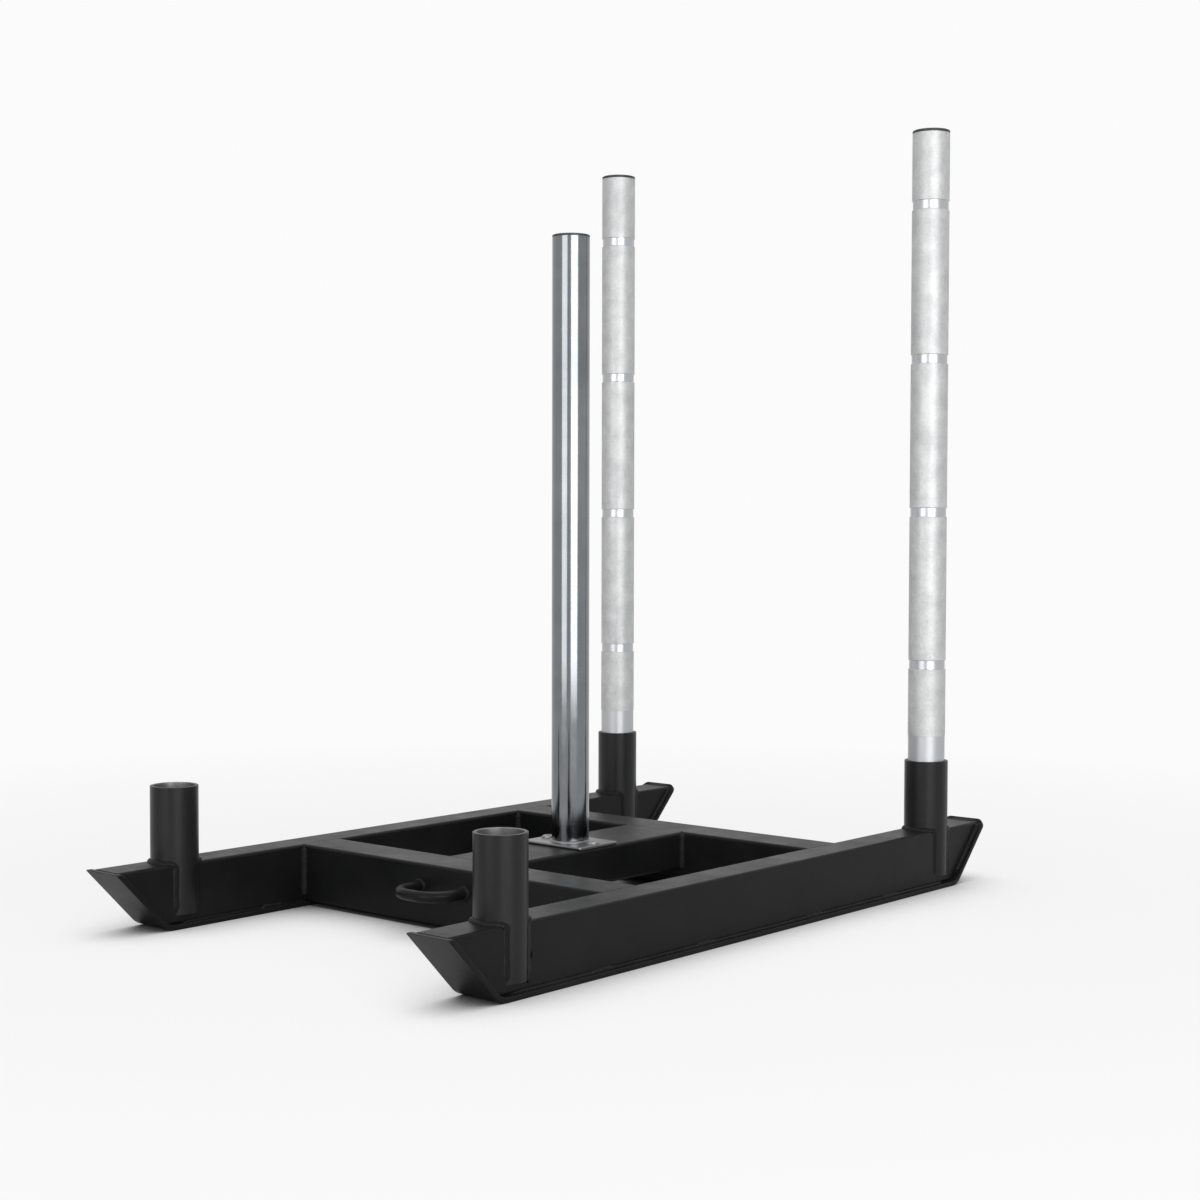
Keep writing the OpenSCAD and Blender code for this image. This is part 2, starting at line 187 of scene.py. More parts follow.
# Patches of skin, in millimetres, become one object in metres that rides on a body.
def makePiece(name, patches, material, body, standsFor, sharp=40):
    points, faces, base = [], [], 0
    for patch, quads, fans in patches:
        points.append(patch)
        faces += (quads + base).tolist() + (fans + base).tolist()
        base += len(patch)
    mesh = bpy.data.meshes.new(name)
    mesh.from_pydata((np.vstack(points) * toMetres).tolist(), [], faces)
    work = bmesh.new()
    work.from_mesh(mesh)
    bmesh.ops.remove_doubles(work, verts=work.verts, dist=meshCare["merge"])
    bmesh.ops.dissolve_degenerate(work, edges=work.edges, dist=meshCare["collapse"])
    work.to_mesh(mesh)
    work.free()
    mesh.polygons.foreach_set("use_smooth", np.ones(len(mesh.polygons), bool))
    mesh.set_sharp_from_angle(angle=math.radians(sharp))
    mesh.update()
    piece = bpy.data.objects.new(name, mesh)
    bpy.context.scene.collection.objects.link(piece)
    mesh.materials.append(material)
    # large flat faces decide the shading, so small rounded edges don't bend it
    even = piece.modifiers.new("evenNormals", "WEIGHTED_NORMAL")
    even.mode, even.weight, even.keep_sharp = "FACE_AREA", meshCare["flatWeight"], True
    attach(piece, body)
    if standsFor:
        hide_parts(*standsFor)
    return piece


# Materials


# One node of a tree, with settings, and links or fixed values for its inputs. An input is given by
# its name, with _ for a space, or as i and its number.
def place(tree, kind, settings=None, **inputs):
    node = tree.nodes.new(kind)
    for key, value in (settings or {}).items():
        setattr(node, key, value)
    for key, value in inputs.items():
        numbered = key[0] == "i" and key[1:].isdigit()
        socket = node.inputs[int(key[1:]) if numbered else key.replace("_", " ")]
        if isinstance(value, bpy.types.NodeSocket):
            tree.links.new(value, socket)
        else:
            socket.default_value = value
    return node


def maths(tree, operation, a, b=0.0, c=0.0, clamp=False):
    node = place(tree, "ShaderNodeMath", {"operation": operation, "use_clamp": clamp}, i0=a, i1=b)
    if operation == "MULTIPLY_ADD":
        node.inputs[2].default_value = c
    return node.outputs[0]


def spread(tree, value, low, high, newLow, newHigh):
    return place(tree, "ShaderNodeMapRange", {"clamp": True}, i0=value, i1=low, i2=high, i3=newLow,
        i4=newHigh).outputs[0]


def newGroup(name, ins, outs):
    tree = bpy.data.node_groups.new(name, "ShaderNodeTree")
    for label, kind, value in ins:
        socket = tree.interface.new_socket(label, in_out="INPUT", socket_type=kind)
        if value is not None:
            socket.default_value = value
    for label, kind in outs:
        tree.interface.new_socket(label, in_out="OUTPUT", socket_type=kind)
    return tree, tree.nodes.new("NodeGroupInput"), tree.nodes.new("NodeGroupOutput")


# Two sizes of soft grain added up: the skin of a powder coat, a casting or moulded plastic
def grainGroup():
    tree, given, put = newGroup("surfaceGrain", [
        ("Vector", "NodeSocketVector", None), ("Scale", "NodeSocketFloat", 900.0),
        ("Coarse", "NodeSocketFloat", 0.35),
    ], [("Height", "NodeSocketFloat")])
    fine = place(tree, "ShaderNodeTexNoise", None, Vector=given.outputs["Vector"],
        Scale=given.outputs["Scale"], Detail=2.0)
    wide = place(tree, "ShaderNodeTexNoise", None, Vector=given.outputs["Vector"],
        Scale=maths(tree, "MULTIPLY", given.outputs["Scale"], 0.22), Detail=1.0)
    mixed = place(tree, "ShaderNodeMix", {"data_type": "FLOAT"}, Factor=given.outputs["Coarse"],
        i2=fine.outputs[0], i3=wide.outputs[0])
    tree.links.new(mixed.outputs[0], put.inputs["Height"])
    return tree


# A slow cloudy change between two values
def cloudGroup():
    tree, given, put = newGroup("cloudyTone", [
        ("Vector", "NodeSocketVector", None), ("Scale", "NodeSocketFloat", 9.0),
        ("Low", "NodeSocketFloat", 0.0), ("High", "NodeSocketFloat", 1.0),
    ], [("Value", "NodeSocketFloat")])
    cloud = place(tree, "ShaderNodeTexNoise", None, Vector=given.outputs["Vector"],
        Scale=given.outputs["Scale"], Detail=4.0, Roughness=0.6)
    out = place(tree, "ShaderNodeMapRange", None, i0=cloud.outputs[0], i1=0.32, i2=0.68,
        i3=given.outputs["Low"], i4=given.outputs["High"])
    tree.links.new(out.outputs[0], put.inputs["Value"])
    return tree


# Thin marks: noise stretched along one way and cut off high, so that only its crests stay
def scratchGroup():
    tree, given, put = newGroup("fineScratches", [
        ("Vector", "NodeSocketVector", None), ("Stretch", "NodeSocketVector", (900.0, 900.0, 14.0)),
        ("Amount", "NodeSocketFloat", 0.5),
    ], [("Mask", "NodeSocketFloat")])
    long = place(tree, "ShaderNodeVectorMath", {"operation": "MULTIPLY"}, i0=given.outputs["Vector"],
        i1=given.outputs["Stretch"])
    lines = place(tree, "ShaderNodeTexNoise", None, Vector=long.outputs[0], Scale=1.0, Detail=3.0,
        Roughness=0.7)
    cut = spread(tree, lines.outputs[0], 0.56, 0.74, 0.0, 1.0)
    tree.links.new(maths(tree, "MULTIPLY", cut, given.outputs["Amount"]), put.inputs["Mask"])
    return tree


# Where the surface turns quickly the rounded normal leaves the true one: that is an edge
def edgeGroup():
    tree, given, put = newGroup("wornEdge", [
        ("Vector", "NodeSocketVector", None), ("Amount", "NodeSocketFloat", 0.5),
    ], [("Mask", "NodeSocketFloat")])
    soft = place(tree, "ShaderNodeBevel", {"samples": 4}, Radius=0.0016)
    true = place(tree, "ShaderNodeNewGeometry")
    same = place(tree, "ShaderNodeVectorMath", {"operation": "DOT_PRODUCT"}, i0=soft.outputs[0],
        i1=true.outputs["Normal"])
    bare = spread(tree, same.outputs["Value"], 0.985, 0.80, 0.0, 1.0)
    rubbed = place(tree, "ShaderNodeTexNoise", None, Vector=given.outputs["Vector"], Scale=70.0,
        Detail=3.0)
    patchy = spread(tree, rubbed.outputs[0], 0.38, 0.66, 0.25, 1.0)
    both = maths(tree, "MULTIPLY", bare, patchy)
    tree.links.new(maths(tree, "MULTIPLY", both, given.outputs["Amount"]), put.inputs["Mask"])
    return tree


# Dust that settles on what faces up, thinner where the cloud is low
def dustGroup():
    tree, given, put = newGroup("settledDust", [
        ("Vector", "NodeSocketVector", None), ("Amount", "NodeSocketFloat", 0.5),
    ], [("Mask", "NodeSocketFloat")])
    true = place(tree, "ShaderNodeNewGeometry")
    parts = place(tree, "ShaderNodeSeparateXYZ", None, Vector=true.outputs["Normal"])
    up = spread(tree, parts.outputs["Z"], 0.35, 0.95, 0.0, 1.0)
    cloud = place(tree, "ShaderNodeTexNoise", None, Vector=given.outputs["Vector"], Scale=26.0,
        Detail=6.0, Roughness=0.65)
    thin = spread(tree, cloud.outputs[0], 0.3, 0.75, 0.35, 1.0)
    tree.links.new(maths(tree, "MULTIPLY", maths(tree, "MULTIPLY", up, thin), given.outputs["Amount"]),
        put.inputs["Mask"])
    return tree


groups = {
    "grain": grainGroup(),
    "cloud": cloudGroup(),
    "scratch": scratchGroup(),
    "edge": edgeGroup(),
    "dust": dustGroup(),
}


def effect(tree, which, **inputs):
    node = place(tree, "ShaderNodeGroup", {"node_tree": groups[which]})
    for key, value in inputs.items():
        if isinstance(value, bpy.types.NodeSocket):
            tree.links.new(value, node.inputs[key])
        else:
            node.inputs[key].default_value = value
    return node.outputs[0]


def newMaterial(name):
    material = bpy.data.materials.new(name)
    material.use_nodes = True
    tree = material.node_tree
    shader = tree.nodes["Principled BSDF"]
    where = place(tree, "ShaderNodeTexCoord").outputs["Object"]
    return material, tree, shader, where


def blend(tree, amount, first, second):
    node = place(tree, "ShaderNodeMix", {"data_type": "RGBA"}, Factor=amount)
    for socket, value in ((node.inputs[6], first), (node.inputs[7], second)):
        if isinstance(value, bpy.types.NodeSocket):
            tree.links.new(value, socket)
        else:
            socket.default_value = (*value, 1.0)
    return node.outputs[2]


def link(tree, value, socket):
    tree.links.new(value, socket)


# Tones are linear. Each gloss entry is the size of its clouds and the roughness at both ends.
coatLook = {
    "deep": (0.0052, 0.0054, 0.0058), "pale": (0.0085, 0.0086, 0.0090), "toneScale": 7.0,
    "rubbed": (0.03, 0.03, 0.031), "rubbing": 0.55, "dust": (0.06, 0.059, 0.057), "dusting": 0.16,
    "dustDulls": 0.5, "bore": (0.30, 0.30, 0.305), "boreEdge": (0.0263, 0.0270),
    "streaks": {"Scale": 55.0, "Low": 0.55, "High": 1.0}, "specular": 0.09, "sleeveSpecular": 0.22,
    "gloss": {"Scale": 15.0, "Low": 0.30, "High": 0.40}, "marks": 0.10,
    "markStretch": (60.0, 700.0, 60.0), "grainScale": 1100.0, "coarse": 0.45, "grain": 0.10,
    "weldGrain": 0.2, "depth": 0.0004,
}


# Black powder coat: fine orange peel, cloudy gloss, edges rubbed a little paler, a trace of dust
def powderCoat(name, peel, bored=False):
    look = coatLook
    material, tree, shader, where = newMaterial(name)
    tone = effect(tree, "cloud", Vector=where, Scale=look["toneScale"], Low=0.0, High=1.0)
    colour = blend(tree, tone, look["deep"], look["pale"])
    if bored:
        # inside a sleeve the poles have rubbed the coat down to grey metal
        parts = place(tree, "ShaderNodeSeparateXYZ", None, Vector=where)
        across = maths(tree, "SUBTRACT", maths(tree, "ABSOLUTE", parts.outputs["X"]),
            sled["runnerX"] * toMetres)
        along = maths(tree, "SUBTRACT", maths(tree, "ABSOLUTE", parts.outputs["Y"]),
            sled["sleeveY"] * toMetres)
        radius = maths(tree, "SQRT", maths(tree, "ADD", maths(tree, "MULTIPLY", across, across),
            maths(tree, "MULTIPLY", along, along)))
        inside = spread(tree, radius, *look["boreEdge"], 1.0, 0.0)
        streaks = effect(tree, "cloud", Vector=where, **look["streaks"])
        worn = maths(tree, "MULTIPLY", inside, streaks)
        colour = blend(tree, worn, colour, look["bore"])
        link(tree, worn, shader.inputs["Metallic"])
    edge = effect(tree, "edge", Vector=where, Amount=look["rubbing"])
    colour = blend(tree, edge, colour, look["rubbed"])
    dust = effect(tree, "dust", Vector=where, Amount=look["dusting"])
    colour = blend(tree, dust, colour, look["dust"])
    link(tree, colour, shader.inputs["Base Color"])
    shader.inputs["Specular IOR Level"].default_value = look["sleeveSpecular" if bored else "specular"]
    gloss = effect(tree, "cloud", Vector=where, **look["gloss"])
    marks = effect(tree, "scratch", Vector=where, Stretch=look["markStretch"], Amount=look["marks"])
    gloss = maths(tree, "ADD", gloss, marks)
    dulled = maths(tree, "MULTIPLY", dust, look["dustDulls"])
    link(tree, maths(tree, "ADD", gloss, dulled, clamp=True), shader.inputs["Roughness"])
    grain = effect(tree, "grain", Vector=where, Scale=look["grainScale"], Coarse=look["coarse"])
    bump = place(tree, "ShaderNodeBump", None, Strength=peel, Distance=look["depth"], Height=grain)
    link(tree, bump.outputs[0], shader.inputs["Normal"])
    return material


chromeLook = {"toneScale": 12.0, "marks": 0.35, "marksDull": 0.16, "bump": 0.05, "depth": 0.0002}
postLook = {
    "bright": (0.21, 0.22, 0.23), "dull": (0.16, 0.17, 0.18), "stretch": (700.0, 700.0, 9.0),
    "gloss": {"Scale": 30.0, "Low": 0.10, "High": 0.15},
}
plateLook = {
    "bright": (0.20, 0.20, 0.205), "dull": (0.15, 0.15, 0.155), "stretch": (30.0, 500.0, 500.0),
    "gloss": {"Scale": 30.0, "Low": 0.32, "High": 0.42},
}


# Bright plating over a drawn tube: near mirror, with faint lengthways drawing lines and handling marks
def brightChrome(name, look):
    material, tree, shader, where = newMaterial(name)
    tone = effect(tree, "cloud", Vector=where, Scale=chromeLook["toneScale"], Low=0.0, High=1.0)
    link(tree, blend(tree, tone, look["bright"], look["dull"]), shader.inputs["Base Color"])
    shader.inputs["Metallic"].default_value = 1.0
    marks = effect(tree, "scratch", Vector=where, Stretch=look["stretch"], Amount=chromeLook["marks"])
    gloss = effect(tree, "cloud", Vector=where, **look["gloss"])
    dulled = maths(tree, "MULTIPLY", marks, chromeLook["marksDull"])
    link(tree, maths(tree, "ADD", gloss, dulled), shader.inputs["Roughness"])
    bump = place(tree, "ShaderNodeBump", None, Strength=chromeLook["bump"], Distance=chromeLook["depth"],
        Height=marks)
    link(tree, bump.outputs[0], shader.inputs["Normal"])
    return material


poleLook = {
    "pale": (0.53, 0.535, 0.535), "dull": (0.41, 0.415, 0.42), "turned": (0.42, 0.43, 0.445),
    "ridges": 96, "ridgeRise": 0.0026, "knurlEdge": (0.02548, 0.02568), "toneScale": 42.0,
    "fleckScale": 340.0, "fleck": 0.35, "metal": (0.85, 0.45),
    "gloss": {"Scale": 60.0, "Low": 0.42, "High": 0.52},
    "turnedGloss": {"Scale": 50.0, "Low": 0.26, "High": 0.34}, "spigotEdge": (0.2115, 0.2125),
    "spigotDull": 0.13, "grain": {"Scale": 1500.0, "Coarse": 0.3},
    "lathe": {"Stretch": (30.0, 30.0, 3800.0), "Amount": 0.5}, "fine": 0.12, "bump": 0.35,
    "depth": 0.00022,
}


# Satin plated pole: knurled where it is widest, with turned bands and spigot left smooth
def knurledSteel(name):
    look = poleLook
    material, tree, shader, where = newMaterial(name)
    parts = place(tree, "ShaderNodeSeparateXYZ", None, Vector=where)
    across = maths(tree, "SUBTRACT", maths(tree, "ABSOLUTE", parts.outputs["X"]),
        sled["runnerX"] * toMetres)
    along = maths(tree, "SUBTRACT", parts.outputs["Y"], sled["sleeveY"] * toMetres)
    radius = maths(tree, "SQRT", maths(tree, "ADD", maths(tree, "MULTIPLY", across, across),
        maths(tree, "MULTIPLY", along, along)))
    turn = maths(tree, "DIVIDE", maths(tree, "ARCTAN2", along, across), 2 * math.pi)
    ridges = maths(tree, "MULTIPLY", turn, float(look["ridges"]))
    rise = maths(tree, "DIVIDE", parts.outputs["Z"], look["ridgeRise"])
    # two sets of helical grooves cross, and the lower of two triangle waves makes diamonds stand up
    waves = [maths(tree, "PINGPONG", maths(tree, way, ridges, rise), 0.5) for way in ("ADD", "SUBTRACT")]
    diamond = maths(tree, "MULTIPLY", maths(tree, "MINIMUM", waves[0], waves[1]), 2.0)
    knurled = spread(tree, radius, *look["knurlEdge"], 0.0, 1.0)
    tone = effect(tree, "cloud", Vector=where, Scale=look["toneScale"], Low=0.0, High=1.0)
    fleck = effect(tree, "cloud", Vector=where, Scale=look["fleckScale"], Low=-look["fleck"],
        High=look["fleck"])
    colour = blend(tree, maths(tree, "ADD", tone, fleck, clamp=True), look["dull"], look["pale"])
    link(tree, blend(tree, knurled, look["turned"], colour), shader.inputs["Base Color"])
    link(tree, spread(tree, knurled, 0.0, 1.0, *look["metal"]), shader.inputs["Metallic"])
    gloss = effect(tree, "cloud", Vector=where, **look["gloss"])
    spigot = spread(tree, parts.outputs["Z"], *look["spigotEdge"], look["spigotDull"], 0.0)
    turnedGloss = maths(tree, "ADD", effect(tree, "cloud", Vector=where, **look["turnedGloss"]), spigot)
    both = place(tree, "ShaderNodeMix", {"data_type": "FLOAT"}, Factor=knurled, i2=turnedGloss, i3=gloss)
    link(tree, both.outputs[0], shader.inputs["Roughness"])
    grain = effect(tree, "grain", Vector=where, **look["grain"])
    lathe = effect(tree, "scratch", Vector=where, **look["lathe"])
    raised = maths(tree, "MULTIPLY", diamond, knurled)
    fine = maths(tree, "MULTIPLY", maths(tree, "ADD", grain, lathe), look["fine"])
    height = maths(tree, "ADD", raised, fine)
    bump = place(tree, "ShaderNodeBump", None, Strength=look["bump"], Distance=look["depth"],
        Height=height)
    link(tree, bump.outputs[0], shader.inputs["Normal"])
    return material


capLook = {
    "deep": (0.012, 0.012, 0.013), "pale": (0.02, 0.02, 0.021), "toneScale": 60.0,
    "gloss": {"Scale": 90.0, "Low": 0.42, "High": 0.55}, "grain": {"Scale": 2400.0, "Coarse": 0.2},
    "bump": 0.25, "depth": 0.0002,
}


# Black moulded plastic with a fine even grain
def capPlastic(name):
    look = capLook
    material, tree, shader, where = newMaterial(name)
    tone = effect(tree, "cloud", Vector=where, Scale=look["toneScale"], Low=0.0, High=1.0)
    link(tree, blend(tree, tone, look["deep"], look["pale"]), shader.inputs["Base Color"])
    link(tree, effect(tree, "cloud", Vector=where, **look["gloss"]), shader.inputs["Roughness"])
    grain = effect(tree, "grain", Vector=where, **look["grain"])
    bump = place(tree, "ShaderNodeBump", None, Strength=look["bump"], Distance=look["depth"],
        Height=grain)
    link(tree, bump.outputs[0], shader.inputs["Normal"])
    return material


zincLook = {
    "blue": (0.22, 0.225, 0.235), "yellow": (0.27, 0.265, 0.25), "toneScale": 180.0,
    "stretch": (420.0, 420.0, 420.0), "marks": 0.3,
    "gloss": {"Scale": 260.0, "Low": 0.36, "High": 0.5}, "bump": 0.12, "depth": 0.0002,
}


# Bright zinc on the bolts, with wrench marks and a slight yellow and blue cast
def zincPlate(name):
    look = zincLook
    material, tree, shader, where = newMaterial(name)
    tone = effect(tree, "cloud", Vector=where, Scale=look["toneScale"], Low=0.0, High=1.0)
    link(tree, blend(tree, tone, look["blue"], look["yellow"]), shader.inputs["Base Color"])
    shader.inputs["Metallic"].default_value = 1.0
    marks = effect(tree, "scratch", Vector=where, Stretch=look["stretch"], Amount=look["marks"])
    gloss = effect(tree, "cloud", Vector=where, **look["gloss"])
    link(tree, maths(tree, "ADD", gloss, marks), shader.inputs["Roughness"])
    bump = place(tree, "ShaderNodeBump", None, Strength=look["bump"], Distance=look["depth"],
        Height=marks)
    link(tree, bump.outputs[0], shader.inputs["Normal"])
    return material


coat = powderCoat("blackPowderCoat", coatLook["grain"])
sleeveCoat = powderCoat("sleeveCoat", coatLook["grain"], True)
weldCoat = powderCoat("coatedWeld", coatLook["weldGrain"])
postChrome = brightChrome("brightPost", postLook)
plateChrome = brightChrome("brightPlate", plateLook)
poleSteel = knurledSteel("knurledPole")
plastic = capPlastic("capPlastic")
zinc = zincPlate("boltZinc")

cadFinish = {
    "right_runner": coat, "left_runner": coat, "front_cross_tube": coat, "rear_cross_tube": coat,
    "spine_tube": coat, "base_nuts": zinc,
}
for nodeName, finish in cadFinish.items():
    nodes[nodeName].data.materials.clear()
    nodes[nodeName].data.materials.append(finish)
print("materials ready")

# Skid plates

# Rows of points are (from, to, count). Those of the tip and the slope are measured from the tip.
skidLook = {
    "half": 32.5, "slope": math.radians(46), "bendInside": 24.0, "tipY": 543.0, "lip": 3.7,
    "edge": 1.1, "tipRound": 12.0, "sharpTip": 4.0, "flushOver": 16.0,
    "tipRows": ((0, 1.4, 7), (1.8, 4.2, 8), (5, 12.2, 10)), "slopeRows": ((138, 88, 30), (84, 16, 10)),
    "flatEnd": 142, "flatRows": 24,
}


# The bent line through the middle of a plate: a flat length, an arc, then a straight slope.
# distance runs from the middle of the sled, negative towards the front.
def plateLine(distance):
    look, thick = skidLook, sled["plate"]
    slope, outside = look["slope"], look["bendInside"] + thick
    middle = look["bendInside"] + thick / 2
    tipInZ = sled["frameTop"] + look["lip"]
    tipZ = tipInZ - thick * math.cos(slope)
    flat = look["tipY"] - tipZ / math.tan(slope) - outside * math.tan(slope / 2)
    rise = (tipInZ - (outside - look["bendInside"] * math.cos(slope))) / math.sin(slope)
    whole = flat + middle * slope + rise
    u = np.abs(distance)
    turn = np.clip((u - flat) / middle, 0, slope)
    up = np.maximum(u - flat - middle * slope, 0)
    y = np.minimum(u, flat) + middle * np.sin(turn) + up * math.cos(slope)
    z = outside - middle * np.cos(turn) + up * math.sin(slope)
    return np.sign(distance) * y, z, -np.sign(distance) * np.sin(turn), np.cos(turn), whole


# The section is a flat bar with rounded edges. Near a tip its half width follows the corner's
# circle: half - r + sqrt(r^2 - (r - d)^2), with d the distance that is left to the tip.
def skidPlate(side):
    look = skidLook
    whole = plateLine(np.array([0.0]))[4]
    tip = np.concatenate([np.linspace(*rows) for rows in look["tipRows"]])
    slopes = [np.linspace(whole - far, whole - near, count) for far, near, count in look["slopeRows"]]
    flat = np.linspace(0, whole - look["flatEnd"], look["flatRows"])
    half = np.concatenate([flat, *slopes, (whole - tip)[::-1]])
    distance = np.unique(np.concatenate([-half, half]))
    y, z, ny, nz, _ = plateLine(distance)
    left = whole - np.abs(distance)
    edge = look["edge"]
    thick = sled["plate"] / 2 - edge + np.sqrt(edge ** 2 - np.clip(edge - left, 0, edge) ** 2)
    radius = np.where(distance < 0, look["sharpTip"], look["tipRound"])
    short = np.clip(radius - left, 0, radius)
    width = (look["half"] - radius + np.sqrt(radius ** 2 - short ** 2))[:, None]
    angle = np.linspace(0, np.pi / 2, 5)
    across, through = [], []
    for k, (sx, sn) in enumerate(((1, 1), (-1, 1), (-1, -1), (1, -1))):
        turn = angle + k * np.pi / 2
        across.append(sx * (width - edge) + edge * np.cos(turn)[None])
        through.append(sn * (thick[:, None] - edge) + edge * np.sin(turn)[None])
    across, through = np.hstack(across), np.hstack(through)
    # The front end is cut level: going through the plate from its outside, the line stops earlier by
    # (half thickness + through) cos(slope) / sin(slope), and the rows before it lean over by degrees.
    early = (sled["plate"] / 2 + through) / math.tan(look["slope"])
    lean = np.clip(1 - left / look["flushOver"], 0, 1) * (distance < 0)
    shift = lean[:, None] * early
    rows = np.stack([
        side * sled["runnerX"] + across,
        y[:, None] + through * ny[:, None] + shift * math.cos(look["slope"]),
        z[:, None] + through * nz[:, None] - shift * math.sin(look["slope"]),
    ], -1)
    return skin(rows)


for side, word in ((1, "right"), (-1, "left")):
    makePiece(word + "SkidPlate", [skidPlate(side)], coat, "sled_frame", [word + "_skid"],
        30)
print("skid plates ready")

# Sleeves, poles and caps, all turned

sleeveLook = {"outerFoot": 0.4, "outerRim": 0.9, "innerRim": 0.6, "innerFoot": 0.3, "around": 128}


def sleeveShape(side, back):
    look = sleeveLook
    low, top, outer, bore = sled["sleeveLow"], sled["sleeveTop"], sled["sleeveRadius"], sled["boreRadius"]
    profile = rounded([(outer, low), (outer, top), (bore, top), (bore, low)],
        [look["outerFoot"], look["outerRim"], look["innerRim"], look["innerFoot"]], True)
    return turned(profile, (side * sled["runnerX"], back * sled["sleeveY"]), look["around"], True)


for side, word in ((1, "right"), (-1, "left")):
    for back, end in ((-1, "front"), (1, "rear")):
        makePiece(end + word.capitalize() + "Sleeve", [sleeveShape(side, back)], sleeveCoat,
            "sled_frame", [end + "_" + word + "_sleeve"], 30)

poleSizes = {
    "foot": 17.3, "spigot": 25.4, "step": 212.0, "radius": 25.8, "bore": 22.8, "top": 1048.0,
    "groovePitch": 212.3, "grooveWidth": 12.3, "groove": 24.6, "lipRound": 0.7, "grooveRound": 0.35,
    "footRounds": [0.3, 0.6], "stepRounds": [0.15, 0.2], "topRounds": [0.3, 0.3], "capTop": 1052.0,
    "around": 144,
}


def poleShape(side):
    size = poleSizes
    corners = [(size["bore"], size["foot"]), (size["spigot"], size["foot"]),
        (size["spigot"], size["step"]), (size["radius"], size["step"])]
    radii = size["footRounds"] + size["stepRounds"]
    # four grooves, evenly about the middle of the wide part
    for k in (-1.5, -0.5, 0.5, 1.5):
        middle = (size["step"] + size["top"]) / 2 + k * size["groovePitch"]
        low, high = middle - size["grooveWidth"] / 2, middle + size["grooveWidth"] / 2
        corners += [(size["radius"], low), (size["groove"], low), (size["groove"], high),
            (size["radius"], high)]
        radii += [size["lipRound"], size["grooveRound"], size["grooveRound"], size["lipRound"]]
    corners += [(size["radius"], size["top"]), (size["bore"], size["top"])]
    radii += size["topRounds"]
    return turned(rounded(corners, radii, True, 4), (side * sled["runnerX"], sled["sleeveY"]),
        size["around"], True)


capSizes = {"plug": 20.0, "wall": 2.0, "rim": 1.3, "underRim": 0.2, "plugRound": 0.5, "around": 128}


# A cap's disc with a softly rounded rim and the hollow plug below it, closed on the axis
def capShape(centre, low, top, outer, plug):
    size = capSizes
    foot, inner, ceiling = low - size["plug"], plug - size["wall"], low - size["wall"]
    corners = [(0, top), (outer, top), (outer, low), (plug, low), (plug, foot), (inner, foot),
        (inner, ceiling), (0, ceiling)]
    radii = [0, size["rim"], size["underRim"], 0, size["plugRound"], 0, size["plugRound"], 0]
    return turned(rounded(corners, radii, False, 7), centre, size["around"], False)


for side, word in ((1, "right"), (-1, "left")):
    body = word + "_push_pole"
    makePiece(word + "PoleTube", [poleShape(side)], poleSteel, body, [word + "_pole"],
        50)
    cap = capShape((side * sled["runnerX"], sled["sleeveY"]), poleSizes["top"], poleSizes["capTop"],
        poleSizes["radius"], poleSizes["bore"])
    makePiece(word + "PoleEndCap", [cap], plastic, body, [word + "_pole_cap"])
print("sleeves and poles ready")

# Weight post on its bolted base

postSizes = {
    "top": 884.0, "bore": 22.0, "capTop": 887.0, "endRound": 0.3, "around": 256, "weld": 2.5,
    "plateHalfX": 51.0, "plateHalfY": 38.0, "corner": 3.0, "edge": 1.6, "boltX": 39.0,
    "washerRadius": 10.0, "washerBore": 5.25, "washer": 1.0, "washerRounds": [0.1, 0.2, 0.35, 0.2],
    "washerAround": 72, "headRadius": 8.5, "headSlope": 1.5, "head": 2.0, "headSide": 0.5,
    "socket": 3.5, "socketDepth": 3.0, "socketRim": 0.2, "shank": 5.0, "shankEnd": 67.0,
    "boltAround": 96,
}


def postShape():
    size, foot, radius = postSizes, sled["plateTop"], sled["postRadius"]
    profile = rounded([(radius - size["weld"], foot), (radius, foot + size["weld"]),
        (radius, size["top"]), (size["bore"], size["top"]), (size["bore"], foot)],
        [0, 0, size["endRound"], size["endRound"], 0], True)
    return turned(profile, (0, 0), size["around"], True)


# The plate's outline is a rectangle with rounded corners. It shrinks by e(1 - cos) and rises by
# e(1 - sin) over each edge, so that all the edges are broken by the same small radius.
def plateShape():
    size, e = postSizes, postSizes["edge"]
    low, top = sled["frameTop"], sled["plateTop"]
    quarter = np.linspace(0, np.pi / 2, 5)
    inset = np.concatenate([e * (1 - np.sin(quarter)), e * (1 - np.cos(quarter))])
    height = np.concatenate([low + e * (1 - np.cos(quarter)), top - e * (1 - np.sin(quarter))])
    turn = np.linspace(0, np.pi / 2, 7)
    x, y = [], []
    for k, (sx, sy) in enumerate(((1, 1), (-1, 1), (-1, -1), (1, -1))):
        spin = turn + k * np.pi / 2
        radius = (size["corner"] - inset)[:, None]
        x.append(sx * (size["plateHalfX"] - size["corner"]) + radius * np.cos(spin)[None])
        y.append(sy * (size["plateHalfY"] - size["corner"]) + radius * np.sin(spin)[None])
    x, y = np.hstack(x), np.hstack(y)
    return skin(np.stack([x, y, np.repeat(height[:, None], x.shape[1], 1)], -1))


